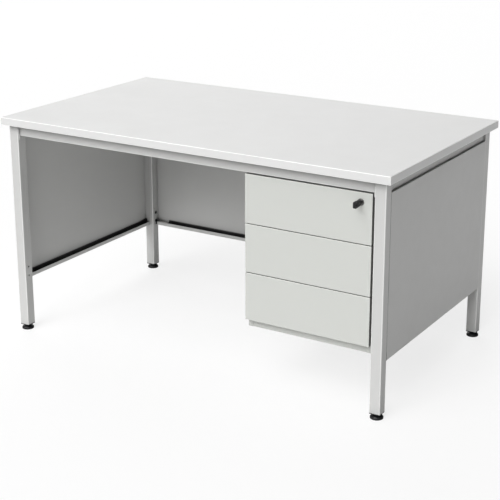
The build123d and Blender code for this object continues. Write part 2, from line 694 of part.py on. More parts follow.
def key_bow():
    """Plastic folding bow, slotted for the blade's eye, and its pivot pin."""
    half = BOW_THICKNESS / 2
    thickness = (LOCK_X - half, LOCK_X + half)
    tip = KEY_PIVOT_Y - BOW_REACH
    shoulder = KEY_PIVOT_Y - BOW_NECK
    grip_heights = (LOCK_Z - BOW_HEIGHT / 2, LOCK_Z + BOW_HEIGHT / 2)
    grip = fillet(block(thickness, (tip, shoulder), grip_heights).edges().filter_by(Axis.X), BOW_CORNER)
    neck_heights = (LOCK_Z - KNUCKLE_RADIUS, LOCK_Z + KNUCKLE_RADIUS)
    neck = block(thickness, (shoulder - BOW_CORNER, KEY_PIVOT_Y), neck_heights)
    knuckle = rod(*across_lock(half, KEY_PIVOT_Y), KNUCKLE_RADIUS)
    slot_half = KEY_THICKNESS / 2 + EYE_SLACK
    slot = block(
        (LOCK_X - slot_half, LOCK_X + slot_half),
        (KEY_PIVOT_Y - EYE_RADIUS - EYE_SLACK, KEY_PIVOT_Y + KNUCKLE_RADIUS + 1),
        (neck_heights[0] - 1, neck_heights[1] + 1),
    )
    ring_hole = rod(*across_lock(half + 1, tip + RING_HOLE_INSET), RING_HOLE_RADIUS)
    pin = rod(*across_lock(half + PIN_HEAD, KEY_PIVOT_Y), KEY_PIN_RADIUS)
    return grip + neck + knuckle - slot - ring_hole - pin, pin


# ---------------------------------------------------------------- writing the sub-parts

def main():
    """Build every sub-part and write its STEP file."""
    os.makedirs("parts", exist_ok=True)
    corners = {
        "front_left": (-1, -1),
        "front_right": (1, -1),
        "back_left": (-1, 1),
        "back_right": (1, 1),
    }

    tabs, tab_seats = top_fixing()
    pedestal_seats = pedestal_screw_seats()
    board = tabletop_board()
    for seat in tab_seats + pedestal_seats:
        board -= screw_blank(*seat)
    save("tabletop_board", board)
    save("tabletop_edge_bands", *tabletop_edge_bands())
    save("top_fixing_tabs", *tabs)
    save("tabletop_screws", *[screw(*seat) for seat in tab_seats])

    for name, signs in corners.items():
        save(f"leg_{name}", leg(*signs))
        save(f"levelling_foot_{name}", levelling_foot(*signs))
    save("leg_end_caps", *[leg_end_cap(*signs) for signs in corners.values()])
    for name, tube in rails().items():
        save(name, tube)
    save("front_rail_end_plates", *front_rail_end_plates())

    save("left_panel", side_panel(-1))
    save("right_panel", side_panel(1))
    save("back_panel", back_panel())
    save("back_panel_screws", *back_panel_screws())

    for name, shape in pedestal_boards().items():
        for seat in pedestal_seats:
            shape -= screw_blank(*seat)
        save(name, shape)
    save("pedestal_screws", *[screw(*seat) for seat in pedestal_seats])
    save("lock_strike", lock_strike())
    save("drawer_bumpers", *drawer_bumpers())

    numbers = range(DRAWER_COUNT)
    save("cabinet_runners_right", *[cabinet_runner(number) for number in numbers])
    save("cabinet_runners_left", *[mirrored(cabinet_runner(number)) for number in numbers])
    for number in numbers:
        label = number + 1
        front = drawer_front(number)
        if number == 0:
            front -= lock_hole()
        bottom, back, sides = drawer_boards(number)
        runner = drawer_runner(number)
        level = roller_level(number)
        front_axle_y = CABINET_RUNNER_FRONT + FRONT_ROLLER_INSET
        rear_axle_y = BOX_REAR - REAR_ROLLER_INSET
        save(f"drawer_{label}_front", front)
        save(f"drawer_{label}_bottom", bottom)
        save(f"drawer_{label}_back", back)
        save(f"drawer_{label}_sides", *sides)
        save(f"drawer_{label}_runners", mirrored(runner), runner)
        save(f"drawer_{label}_rear_rollers", *roller_pair(rear_axle_y, level))
        save(f"cabinet_{label}_front_rollers", *roller_pair(front_axle_y, level))

    save("lock_housing", lock_housing())
    save("lock_plug", lock_plug())
    save("lock_cam", lock_cam())
    save("key_blade", key_blade())
    bow, pin = key_bow()
    save("key_bow", bow)
    save("key_pin", pin)


main()
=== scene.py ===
import json
import math

import bmesh
import bpy
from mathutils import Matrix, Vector


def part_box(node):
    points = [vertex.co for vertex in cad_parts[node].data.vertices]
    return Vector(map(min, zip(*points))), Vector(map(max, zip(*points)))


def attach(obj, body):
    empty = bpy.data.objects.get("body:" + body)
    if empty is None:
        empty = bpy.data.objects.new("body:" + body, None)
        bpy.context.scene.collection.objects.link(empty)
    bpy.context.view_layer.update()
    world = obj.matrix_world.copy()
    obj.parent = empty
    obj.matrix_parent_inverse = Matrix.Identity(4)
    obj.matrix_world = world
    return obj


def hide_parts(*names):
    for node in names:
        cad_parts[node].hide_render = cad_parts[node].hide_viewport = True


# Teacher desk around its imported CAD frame. Metres; the origin is on the floor under the
# centre of the top, +X is the pedestal side, -Y the side where the teacher sits.

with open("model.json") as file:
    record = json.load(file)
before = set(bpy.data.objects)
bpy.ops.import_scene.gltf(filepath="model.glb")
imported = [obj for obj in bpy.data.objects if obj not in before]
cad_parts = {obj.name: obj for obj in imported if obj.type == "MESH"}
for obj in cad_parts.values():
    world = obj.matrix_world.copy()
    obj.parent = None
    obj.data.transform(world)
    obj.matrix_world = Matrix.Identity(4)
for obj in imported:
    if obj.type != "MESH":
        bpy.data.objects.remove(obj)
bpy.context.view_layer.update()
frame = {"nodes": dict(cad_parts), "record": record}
nodes = frame["nodes"]
body_of_node = {
    node: body
    for body, members in frame["record"]["behaviour"]["bodies"].items()
    for node in members
}
slot_of_node = {part["node"]: part["material_slot"] for part in frame["record"]["subparts"]}
collection = bpy.context.scene.collection


# ---------------------------------------------------------------- camera and light

CAMERA_PLACE = Vector((2.1064, -3.4033, 1.6526))
CAMERA_YAW = math.radians(31.37)
CAMERA_PITCH = math.radians(16.9)
CAMERA_LENS = 91.2
CAMERA_SHIFT = (-0.013, -0.083)

# name, bearing, elevation, strength and width; angles in degrees
LIGHTS = (
    ("front", 0.0, 38.0, 2.20, 40.0),
    ("front_high", -15.0, 60.0, 1.32, 40.0),
    ("left", -60.0, 38.0, 0.30, 40.0),
    ("back_left", -135.0, 30.0, 1.22, 50.0),
)

# value for bounced light, value for what the camera sees directly
BACKGROUND_STRENGTH = (0.004, 0.97)
FLOOR_COLOUR = (0.89, 0.20)
FLOOR_GLOW = (0.0, 0.77)
FLOOR_REACH = 14.0


def make_camera():
    """Camera at the viewing angle of the desk's picture."""
    data = bpy.data.cameras.new("camera")
    data.sensor_width = 36.0
    data.lens = CAMERA_LENS
    data.shift_x, data.shift_y = CAMERA_SHIFT
    data.clip_end = 50.0
    camera = bpy.data.objects.new("camera", data)
    level = math.cos(CAMERA_PITCH)
    aim = Vector((-math.sin(CAMERA_YAW) * level, math.cos(CAMERA_YAW) * level, -math.sin(CAMERA_PITCH)))
    camera.rotation_mode = "QUATERNION"
    camera.rotation_quaternion = aim.to_track_quat("-Z", "Y")
    camera.location = CAMERA_PLACE
    collection.objects.link(camera)
    bpy.context.scene.camera = camera


def distant_light(name, bearing, elevation, strength, width):
    """Very large, far soft box; bearing 0 is in front of the desk and negative to its left."""
    data = bpy.data.lights.new(name, "SUN")
    data.energy = strength
    data.angle = math.radians(width)
    around = math.radians(bearing)
    up = math.radians(elevation)
    towards = Vector((math.sin(around) * math.cos(up), -math.cos(around) * math.cos(up), math.sin(up)))
    light = bpy.data.objects.new(name, data)
    light.rotation_mode = "QUATERNION"
    light.rotation_quaternion = (-towards).to_track_quat("-Z", "Y")
    collection.objects.link(light)


def split_by_ray(tree, socket, bounced, direct):
    """Gives a stage shader's socket one value for bounced light and one for what the camera sees."""
    node = tree.nodes.new("ShaderNodeMapRange")
    node.inputs["To Min"].default_value = bounced
    node.inputs["To Max"].default_value = direct
    tree.links.new(tree.nodes.new("ShaderNodeLightPath").outputs["Is Camera Ray"], node.inputs["Value"])
    tree.links.new(node.outputs["Result"], socket)


def make_lights():
    """Soft studio light: broad and high from the front, and a weaker one from behind on the left."""
    for light in LIGHTS:
        distant_light(*light)
    world = bpy.data.worlds.new("studio")
    world.use_nodes = True
    background = world.node_tree.nodes["Background"]
    background.inputs["Color"].default_value = (1.0, 1.0, 1.0, 1.0)
    split_by_ray(world.node_tree, background.inputs["Strength"], *BACKGROUND_STRENGTH)
    bpy.context.scene.world = world


def make_floor():
    """Plain pale floor that runs on past the view, with a faint shadow under the desk."""
    bm = bmesh.new()
    bmesh.ops.create_grid(bm, x_segments=1, y_segments=1, size=FLOOR_REACH)
    mesh = bpy.data.meshes.new("floor")
    bm.to_mesh(mesh)
    bm.free()
    floor = bpy.data.objects.new("floor", mesh)
    collection.objects.link(floor)
    material = bpy.data.materials.new("floor")
    material.use_nodes = True
    tree = material.node_tree
    shader = tree.nodes["Principled BSDF"]
    shader.inputs["Roughness"].default_value = 0.9
    shader.inputs["Specular IOR Level"].default_value = 0.1
    shader.inputs["Emission Color"].default_value = (1.0, 1.0, 1.0, 1.0)
    split_by_ray(tree, shader.inputs["Base Color"], *FLOOR_COLOUR)
    split_by_ray(tree, shader.inputs["Emission Strength"], *FLOOR_GLOW)
    mesh.materials.append(material)


make_camera()
make_lights()
make_floor()
bpy.context.scene.view_settings.view_transform = "Standard"


# ---------------------------------------------------------------- materials

FRAME_GREY = (0.538, 0.538, 0.530)
DRAWER_GREY = (0.535, 0.545, 0.520)
TOP_WHITE = (0.684, 0.684, 0.678)
BAND_WHITE = (0.645, 0.645, 0.640)
DRAWER_BOX_WHITE = (0.76, 0.76, 0.745)
ROLLER_WHITE = (0.76, 0.76, 0.74)
ZINC = (0.62, 0.63, 0.64)
NICKEL = (0.20, 0.195, 0.19)
DARK_STEEL = (0.05, 0.05, 0.051)
BLACK = (0.008, 0.008, 0.009)
RUBBER = (0.5, 0.5, 0.47)

PANEL_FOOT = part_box("left_panel")[0][2]
PANEL_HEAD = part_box("left_panel")[1][2]
TOP_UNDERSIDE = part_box("tabletop_board")[0][2]
SHEET_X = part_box("right_panel")[1][0]
SHEET_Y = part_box("back_panel")[1][1]
PLATE_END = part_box("back_panel")[1][0] - 0.053    # where the plates over its bottom fold end

# insets from the panels' outer faces and heights between which the masks of the powder coat's painted
# shade go from 0 to 1
SHEET_INSETS = (0.010, 0.006)
FOLD_HEIGHTS = (PANEL_FOOT + 0.027, PANEL_FOOT + 0.019)
HEAD_HEIGHTS = (PANEL_HEAD - 0.012, PANEL_HEAD - 0.004)
RAIL_HEIGHTS = (PANEL_HEAD, TOP_UNDERSIDE)

# painted shade on the powder coat where little light gets in, as factors on its colour
CORNER_SHADE = 0.82
UNDER_TOP_SHADE = 0.34
GAP_SHADE = 0.2
HEAD_GAP_SHADE = 0.6
FOLD_SHADE = 0.02
# makes more of the panels' bottom folds take the nearly black painted shade
FOLD_CLOSED = 0.45    # taken off the openness of the upright faces in the panels' bottom folds

# painted highlight: a factor that lightens the colour of the rounded edges
PAINTED_ARRIS_HIGHLIGHT = 1.5    # factor on the colour of rounded edges of powder coat and edge bands


class Surface:
    """Node tree of one procedural material, built from a Principled shader outwards."""

    def __init__(self, name, metallic=0.0, specular=0.5):
        self.material = bpy.data.materials.new(name)
        self.material.use_nodes = True
        self.tree = self.material.node_tree
        self.shader = self.tree.nodes["Principled BSDF"]
        self.shader.inputs["Metallic"].default_value = metallic
        self.shader.inputs["Specular IOR Level"].default_value = specular
        texture_coordinates = self.tree.nodes.new("ShaderNodeTexCoord")
        self.coordinates = texture_coordinates.outputs["Object"]
        self.facing = texture_coordinates.outputs["Normal"]

    def link(self, source, target):
        """Connects two sockets."""
        self.tree.links.new(source, target)

    def stretched(self, scale):
        """Object coordinates scaled on each axis."""
        node = self.tree.nodes.new("ShaderNodeMapping")
        node.inputs["Scale"].default_value = scale
        self.link(self.coordinates, node.inputs["Vector"])
        return node.outputs["Vector"]

    def noise(self, scale, detail, vector=None):
        """Fractal noise; scale is in features per metre."""
        node = self.tree.nodes.new("ShaderNodeTexNoise")
        node.inputs["Scale"].default_value = scale
        node.inputs["Detail"].default_value = detail
        node.inputs["Roughness"].default_value = 0.55
        self.link(vector or self.coordinates, node.inputs["Vector"])
        return node.outputs["Fac"]

    def cells(self, scale):
        """Voronoi distance."""
        node = self.tree.nodes.new("ShaderNodeTexVoronoi")
        node.inputs["Scale"].default_value = scale
        self.link(self.coordinates, node.inputs["Vector"])
        return node.outputs["Distance"]

    def spread(self, value, low, high, from_low=0.3, from_high=0.7):
        """Value remapped from one range to another."""
        node = self.tree.nodes.new("ShaderNodeMapRange")
        node.inputs["From Min"].default_value = from_low
        node.inputs["From Max"].default_value = from_high
        node.inputs["To Min"].default_value = low
        node.inputs["To Max"].default_value = high
        self.link(value, node.inputs["Value"])
        return node.outputs["Result"]

    def mask(self, value, zero_at=0.3, one_at=0.7):
        """Value turned into a mask: 0 at one value of it and 1 at another."""
        return self.spread(value, 0.0, 1.0, zero_at, one_at)

    def blend(self, amount, first, second):
        """Colour between two colours or colour sockets."""
        node = self.tree.nodes.new("ShaderNodeMix")
        node.data_type = "RGBA"
        self.link(amount, node.inputs["Factor"])
        colour_sockets = node.inputs[6:8]    # A and B of the colour form; outputs[2] is its result
        for socket, colour in zip(colour_sockets, (first, second)):
            if isinstance(colour, tuple):
                socket.default_value = (*colour, 1.0)
            else:
                self.link(colour, socket)
        return node.outputs[2]

    def edges(self, radius, strength):
        """Mask that is high on convex and concave edges, broken up in patches as scuffs are."""
        bevel = self.tree.nodes.new("ShaderNodeBevel")
        bevel.samples = 6
        bevel.inputs["Radius"].default_value = radius
        geometry = self.tree.nodes.new("ShaderNodeNewGeometry")
        dot = self.tree.nodes.new("ShaderNodeVectorMath")
        dot.operation = "DOT_PRODUCT"
        self.link(bevel.outputs["Normal"], dot.inputs[0])
        self.link(geometry.outputs["Normal"], dot.inputs[1])
        mask = self.spread(dot.outputs["Value"], strength, 0.0, 0.86, 0.99)
        return self.combined("MULTIPLY", mask, self.spread(self.noise(60.0, 4.0), 0.25, 1.0))

    def combined(self, operation, first, second):
        """Two values put together by a maths operation; the second may be a number."""
        node = self.tree.nodes.new("ShaderNodeMath")
        node.operation = operation
        self.link(first, node.inputs[0])
        if isinstance(second, float):
            node.inputs[1].default_value = second
        else:
            self.link(second, node.inputs[1])
        return node.outputs["Value"]

    def openness(self, reach):
        """How much of its surroundings a point sees within a reach: 1 in the open, 0 in a deep gap."""
        node = self.tree.nodes.new("ShaderNodeAmbientOcclusion")
        node.samples = 8
        node.inputs["Distance"].default_value = reach
        return node.outputs["AO"]

    def parts_of(self, vector):
        """The three components of a vector."""
        node = self.tree.nodes.new("ShaderNodeSeparateXYZ")
        self.link(vector, node.inputs["Vector"])
        return [node.outputs[axis] for axis in ("X", "Y", "Z")]

    def rounded_edges(self):
        """Mask of surfaces that lean between two axes: the rounded edges of square-cut parts."""
        x, y, z = self.parts_of(self.facing)
        total = None
        for first, second in ((x, y), (y, z), (x, z)):
            product = self.combined("MULTIPLY", first, second)
            lean = self.combined("MULTIPLY", product, product)
            total = lean if total is None else self.combined("ADD", total, lean)
        return self.mask(total, 0.01, 0.12)

    def by_height(self, zero_at, one_at):
        """Mask that goes from 0 at one height to 1 at another."""
        return self.mask(self.parts_of(self.coordinates)[2], zero_at, one_at)

    def in_fold(self):
        """Mask of the upright faces inside the panels' bottom folds, but not over the closing plates."""
        upright = self.mask(self.parts_of(self.facing)[2], 0.7, 0.3)
        low = self.combined("MULTIPLY", self.by_height(*FOLD_HEIGHTS), upright)
        x, y, _ = self.parts_of(self.coordinates)
        across = self.combined("ABSOLUTE", x, 0.0)
        side_sheet = self.mask(across, *[SHEET_X - inset for inset in SHEET_INSETS])
        back_sheet = self.mask(y, *[SHEET_Y - inset for inset in SHEET_INSETS])
        off_plate = self.mask(across, PLATE_END + 0.003, PLATE_END)
        open_back = self.combined("MULTIPLY", back_sheet, off_plate)
        return self.combined("MULTIPLY", low, self.combined("MAXIMUM", side_sheet, open_back))

    def bump(self, height, distance, strength=1.0):
        """Bump on the shader's normal, added to what is there; distance in metres."""
        node = self.tree.nodes.new("ShaderNodeBump")
        node.inputs["Strength"].default_value = strength
        node.inputs["Distance"].default_value = distance
        self.link(height, node.inputs["Height"])
        before = self.shader.inputs["Normal"]
        if before.is_linked:
            self.link(before.links[0].from_socket, node.inputs["Normal"])
        self.link(node.outputs["Normal"], before)

    def colour(self, socket):
        """Sets the base colour."""
        self.link(socket, self.shader.inputs["Base Color"])

    def roughness(self, socket):
        """Sets the roughness."""
        self.link(socket, self.shader.inputs["Roughness"])


def shade(colour, factor):
    """Colour made lighter or darker."""
    return tuple(min(1.0, channel * factor) for channel in colour)


def board_surface(name, colour, edge_wear_and_sheen=0.10, arris_highlight=1.0):
    """Melamine faced board: fine pearl texture, faint clouding, slightly scuffed arrises with a painted
    highlight on them and on rounded edges, and painted shade in narrow gaps.
    """
    surface = Surface(name, specular=0.45)
    cloud = surface.mask(surface.noise(2.2, 2.0))
    speck = surface.mask(surface.noise(900.0, 2.0))
    tone = surface.blend(cloud, shade(colour, 0.985), shade(colour, 1.012))
    fine = surface.blend(speck, shade(colour, 0.965), shade(colour, 1.02))
    mixed = surface.blend(surface.spread(surface.noise(35.0, 3.0), 0.35, 0.65), tone, fine)
    # lighter edges: scuffing, with a painted highlight on them
    worn_and_sheened = surface.blend(surface.edges(0.0012, edge_wear_and_sheen), mixed, shade(colour, 1.1))
    # painted highlight on the rounded edges
    arris_highlighted = surface.blend(surface.rounded_edges(), worn_and_sheened, shade(colour, arris_highlight))
    # painted shade: the colour goes down to 0.4 of itself in narrow gaps
    gap = surface.mask(surface.openness(0.03), 0.12, 0.42)
    surface.colour(surface.blend(gap, shade(colour, 0.4), arris_highlighted))
    surface.roughness(surface.spread(surface.noise(14.0, 4.0), 0.52, 0.64))
    surface.bump(surface.noise(1500.0, 2.0), 0.00006, 0.55)
    surface.bump(surface.noise(375.0, 3.0), 0.00010, 0.25)
    return surface.material


def powder_surface(name, colour, folded=False):
    """Powder coat: orange peel, fine speckle, thin on the edges with a painted highlight there and on
    rounded edges, and painted shade where little light gets in.
    """
    surface = Surface(name)
    speck = surface.mask(surface.cells(900.0), 0.1, 0.7)
    fine = surface.blend(speck, shade(colour, 0.975), shade(colour, 1.02))
    cloud = surface.mask(surface.noise(5.0, 3.0))
    tone = surface.blend(cloud, shade(colour, 0.985), fine)
    # lighter edges: thin coat, with a painted highlight on them
    worn_and_sheened = surface.blend(surface.edges(0.0015, 0.30), tone, shade(colour, 1.12))
    # painted highlight on the rounded edges
    arris_highlighted = surface.blend(surface.rounded_edges(), worn_and_sheened, shade(colour, PAINTED_ARRIS_HIGHLIGHT))
    # painted shade in wide corners, much darker in the corners right under the top
    under_top = surface.by_height(*RAIL_HEIGHTS)
    corner = surface.blend(under_top, shade(colour, CORNER_SHADE), shade(colour, UNDER_TOP_SHADE))
    wide = surface.mask(surface.openness(0.06), 0.5, 0.95)
    with_corner_shade = surface.blend(wide, corner, arris_highlighted)
    # painted shade in narrow gaps, lighter from just below the side panels' upper edges upwards
    panel_head = surface.by_height(*HEAD_HEIGHTS)
    gap = surface.blend(panel_head, shade(colour, GAP_SHADE), shade(colour, HEAD_GAP_SHADE))
    # side and back panels: painted shade, nearly black, down in their bottom folds
    if folded:
        closed = surface.combined("MULTIPLY", surface.in_fold(), FOLD_CLOSED)
        narrow = surface.combined("SUBTRACT", surface.openness(0.05), closed)
        gap = surface.blend(surface.by_height(*FOLD_HEIGHTS), gap, shade(colour, FOLD_SHADE))
    else:
        narrow = surface.openness(0.03)
    surface.colour(surface.blend(surface.mask(narrow, 0.28, 0.5), gap, with_corner_shade))
    surface.roughness(surface.spread(surface.noise(26.0, 4.0), 0.36, 0.46))
    surface.bump(surface.noise(420.0, 2.0), 0.00012, 0.35)
    return surface.material


def band_surface(name, colour):
    """Plastic edge band: fine draw lines along it, a satin face and a painted highlight on its rounded
    edges.
    """
    surface = Surface(name)
    lines = surface.noise(1.0, 3.0, surface.stretched((40.0, 40.0, 1600.0)))
    cloud = surface.mask(surface.noise(9.0, 3.0))
    tone = surface.blend(cloud, shade(colour, 0.985), shade(colour, 1.015))
    # painted highlight on the rounded edges
    surface.colour(surface.blend(surface.rounded_edges(), tone, shade(colour, PAINTED_ARRIS_HIGHLIGHT)))
    surface.roughness(surface.spread(lines, 0.30, 0.42))
    surface.bump(lines, 0.00005, 0.5)
    return surface.material


def plastic_surface(name, colour, lighter=2.2):
    """Moulded plastic: spark-eroded grain, a few rubbed edges and patches of dust."""
    surface = Surface(name, specular=0.32)
    dust = surface.spread(surface.noise(120.0, 4.0), 0.0, 0.3, 0.45, 0.75)
    tone = surface.blend(dust, colour, shade(colour, lighter))
    rubbed = surface.edges(0.0008, 0.5)
    surface.colour(surface.blend(rubbed, tone, shade(colour, lighter * 1.6)))
    surface.roughness(surface.spread(surface.noise(200.0, 3.0), 0.38, 0.55))
    surface.bump(surface.noise(2600.0, 2.0), 0.00008, 0.6)
    return surface.material


def steel_surface(name, colour, rough, streak, grain=(60.0, 6.0, 900.0)):
    """Bare or plated steel with rolling streaks, spots, polished edges and painted shade in its
    recesses.
    """
    surface = Surface(name, metallic=1.0)
    streaks = surface.noise(1.0, 3.0, surface.stretched(grain))
    spots = surface.mask(surface.cells(260.0), 0.1, 0.8)
    tone = surface.blend(spots, shade(colour, 0.90), shade(colour, 1.05))
    lined = surface.blend(surface.spread(streaks, 0.0, streak), tone, shade(colour, 0.72))
    worn_and_sheened = surface.blend(surface.edges(0.0006, 0.6), lined, shade(colour, 1.2))
    # painted shade in recesses such as the screw heads' sockets
    recess = surface.mask(surface.openness(0.006), 0.25, 0.85)
    surface.colour(surface.blend(recess, shade(colour, 0.1), worn_and_sheened))
    surface.roughness(surface.spread(streaks, rough * 0.8, rough * 1.25))
    surface.bump(streaks, 0.00004, 0.4)
    return surface.material


def rubber_surface(name, colour):
    """Soft translucent rubber."""
    surface = Surface(name, specular=0.4)
    cloud = surface.mask(surface.noise(300.0, 3.0))
    surface.colour(surface.blend(cloud, shade(colour, 0.9), shade(colour, 1.05)))
    surface.roughness(surface.spread(surface.noise(500.0, 2.0), 0.35, 0.5))
    surface.bump(surface.noise(1200.0, 2.0), 0.00004, 0.4)
    return surface.material


MATERIALS = {
    "laminate_top": board_surface("laminate_top_look", TOP_WHITE, edge_wear_and_sheen=0.06),
    "edge_band": band_surface("edge_band_look", BAND_WHITE),
    "grey_powder_coat": powder_surface("grey_powder_coat_look", FRAME_GREY),
    # powder coat of the side and back panels, with nearly black painted shade in their bottom folds
    "folded_panel": powder_surface("folded_panel_look", FRAME_GREY, folded=True),
    "zinc_steel": steel_surface("zinc_steel_look", ZINC, 0.34, 0.6),
    "black_plastic": plastic_surface("black_plastic_look", BLACK),
    "pedestal_board": board_surface("pedestal_board_look", DRAWER_GREY),
    # drawer fronts: lighter scuffed edges with a painted highlight, and a brighter painted highlight on
    # the rounded edges
    "drawer_front_board": board_surface("drawer_front_board_look", DRAWER_GREY, edge_wear_and_sheen=0.35, arris_highlight=1.45),
    "drawer_box_board": board_surface("drawer_box_board_look", DRAWER_BOX_WHITE),
    "clear_rubber": rubber_surface("clear_rubber_look", RUBBER),
    "dark_steel": steel_surface("dark_steel_look", DARK_STEEL, 0.45, 0.4),
    "nickel_lock": steel_surface("nickel_lock_look", NICKEL, 0.30, 0.35, (900.0, 60.0, 900.0)),
    "white_plastic": plastic_surface("white_plastic_look", ROLLER_WHITE, lighter=1.05),
}

# nodes whose finish differs from that of their slot
OWN_FINISH = {
    "left_panel": "folded_panel",
    "right_panel": "folded_panel",
    "back_panel": "folded_panel",
    "back_panel_screws": "dark_steel",
}


def finish_of(node):
    """Name of the finish that a CAD node is shown in."""
    return OWN_FINISH.get(node, slot_of_node[node])


def dress(obj, finish):
    """Gives an object one of the finishes."""
    obj.data.materials.clear()
    obj.data.materials.append(MATERIALS[finish])
    for polygon in obj.data.polygons:
        polygon.material_index = 0


# ---------------------------------------------------------------- pieces

MERGE_DISTANCE = 2e-6                # vertices closer than this are one
FLAT_ANGLE = math.radians(0.5)       # faces that meet at less than this are one face
SHARP_ANGLE = math.radians(50.0)     # edges bent by more than this get eased


def add_piece(name, bm, body, slot, stands_for=(), sharp=40.0):
    """Links a finished mesh as a piece: its body, finish and the CAD nodes it stands for.

    Edges bent by more than the angle sharp, in degrees, are shaded as edges.
    """
    mesh = bpy.data.meshes.new(name)
    bmesh.ops.recalc_face_normals(bm, faces=bm.faces)
    bm.to_mesh(mesh)
    bm.free()
    for polygon in mesh.polygons:
        polygon.use_smooth = True
    mesh.set_sharp_from_angle(angle=math.radians(sharp))
    piece = bpy.data.objects.new(name, mesh)
    collection.objects.link(piece)
    dress(piece, slot)
    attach(piece, body)
    if stands_for:
        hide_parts(*stands_for)
    return piece


def stand_in(node, bm, sharp=40.0, detail="detailed"):
    """A finished mesh as the visible form of one CAD node."""
    piece = add_piece(f"{node}_{detail}", bm, body_of_node[node], slot_of_node[node], [node], sharp)
    dress(piece, finish_of(node))


def welded_copy(node):
    """The CAD node's surface as one closed mesh with its flat faces whole again."""
    bm = bmesh.new()
    bm.from_mesh(nodes[node].data)
    bmesh.ops.remove_doubles(bm, verts=bm.verts, dist=MERGE_DISTANCE)
    bmesh.ops.dissolve_limit(bm, angle_limit=FLAT_ANGLE, verts=bm.verts, edges=bm.edges)
    return bm


def ease(bm, radius, segments=2):
    """Rounds a mesh's sharp edges by a small radius."""
    sharp = [edge for edge in bm.edges if edge.is_manifold and edge.calc_face_angle(0.0) > SHARP_ANGLE]
    bmesh.ops.bevel(
        bm,
        geom=sharp,
        offset=radius,
        offset_type="OFFSET",
        segments=segments,
        profile=0.6,
        affect="EDGES",
        clamp_overlap=True,
    )


def solids(node):
    """The vertices of each separate solid of a CAD node."""
    bm = bmesh.new()
    bm.from_mesh(nodes[node].data)
    bmesh.ops.remove_doubles(bm, verts=bm.verts, dist=MERGE_DISTANCE)
    left = set(bm.verts)
    found = []
    while left:
        waiting = [left.pop()]
        members = []
        while waiting:
            vertex = waiting.pop()
            members.append(vertex.co.copy())
            for edge in vertex.link_edges:
                other = edge.other_vert(vertex)
                if other in left:
                    left.remove(other)
                    waiting.append(other)
        found.append(members)
    bm.free()
    return sorted(found, key=lambda points: [round(min(p[k] for p in points), 4) for k in range(3)])


def corners_of(points):
    """Lowest and highest corner of some points."""
    low = Vector([min(point[k] for point in points) for k in range(3)])
    high = Vector([max(point[k] for point in points) for k in range(3)])
    return low, high


def turned(bm, origin, axis, outline, segments=48, bored=False, reach=None):
    """Solid of revolution through (radius, along) points; a bored one's outline is a closed loop.

    The reach, if there is one, gives the distance from the axis at each radius, place along and angle.
    """
    axis = Vector(axis).normalized()
    side = axis.orthogonal().normalized()
    across = axis.cross(side)
    rings = []
    for radius, along in outline:
        centre = Vector(origin) + axis * along
        if radius == 0.0:
            rings.append([bm.verts.new(centre)])
            continue
        ring = []
        for index in range(segments):
            angle = 2 * math.pi * index / segments
            length = reach(radius, along, angle) if reach else radius
            outwards = side * math.cos(angle) + across * math.sin(angle)
            ring.append(bm.verts.new(centre + outwards * length))
        rings.append(ring)
    pairs = list(zip(rings, rings[1:]))
    if bored:
        pairs.append((rings[-1], rings[0]))
    for first, second in pairs:
        for index in range(segments):
            loop = [
                first[index % len(first)],
                first[(index + 1) % len(first)],
                second[(index + 1) % len(second)],
                second[index % len(second)],
            ]
            bm.faces.new(list(dict.fromkeys(loop)))
    return rings


def thread(pitch, depth):
    """Radius of a V thread at an angle and a distance along its axis."""

    def reach(radius, along, angle):
        phase = (along / pitch - angle / (2 * math.pi)) % 1.0
        return radius - depth * abs(2.0 * phase - 1.0)

    return reach


def threaded_rod(bm, origin, axis, radius, length, pitch, depth, segments, steps):
    """Threaded rod from the origin to a chamfered end, with some rings of points to each turn."""
    count = int(length / pitch * steps)
    outline = [(0.0, 0.0)]
    outline += [(radius, length * index / count) for index in range(count)]
    outline += [(radius - 2 * depth, length), (0.0, length)]
    turned(bm, origin, axis, outline, segments, reach=thread(pitch, depth))


def socket_outline(kind, size):
    """Points around the recess of a screw head: a cross or a hexagon."""
    if kind == "hexagon":
        angles = [math.radians(60 * index) for index in range(6)]
        return [(size * math.cos(angle), size * math.sin(angle)) for angle in angles]
    half = size * 0.24
    points = []
    for turn in range(4):
        cosine = math.cos(math.radians(90 * turn))
        sine = math.sin(math.radians(90 * turn))
        for x, y in ((size, -half), (size, half), (half, half)):
            points.append((x * cosine - y * sine, x * sine + y * cosine))
    return points


def screw_head(bm, seat, outward, radius, height, kind="cross"):
    """Domed head standing on its seat, with a driven recess in its crown."""
    outward = Vector(outward).normalized()
    side = outward.orthogonal().normalized()
    across = outward.cross(side)
    outline = [
        (0.0, 0.0),
        (radius * 0.97, 0.0),
        (radius, height * 0.15),
        (radius * 0.98, height * 0.42),
        (radius * 0.88, height * 0.74),
        (radius * 0.74, height * 0.93),
        (radius * 0.62, height),
    ]
    crown = turned(bm, seat, outward, outline, 24)[-1]
    loops = []
    for scale, level in ((1.0, 1.0), (0.86, 0.42)):
        middle = Vector(seat) + outward * height * level
        loop = []
        for x, y in socket_outline(kind, radius * 0.46):
            loop.append(bm.verts.new(middle + (side * x + across * y) * scale))
        loops.append(loop)
    mouth, floor = loops
    for index in range(len(mouth)):
        bm.faces.new((mouth[index - 1], mouth[index], floor[index], floor[index - 1]))
    bm.faces.new(floor)
    edges = []
    for ring in (crown, mouth):
        edges += [bm.edges.get((ring[index - 1], ring[index])) for index in range(len(ring))]
    bmesh.ops.triangle_fill(bm, use_beauty=True, use_dissolve=False, edges=edges)


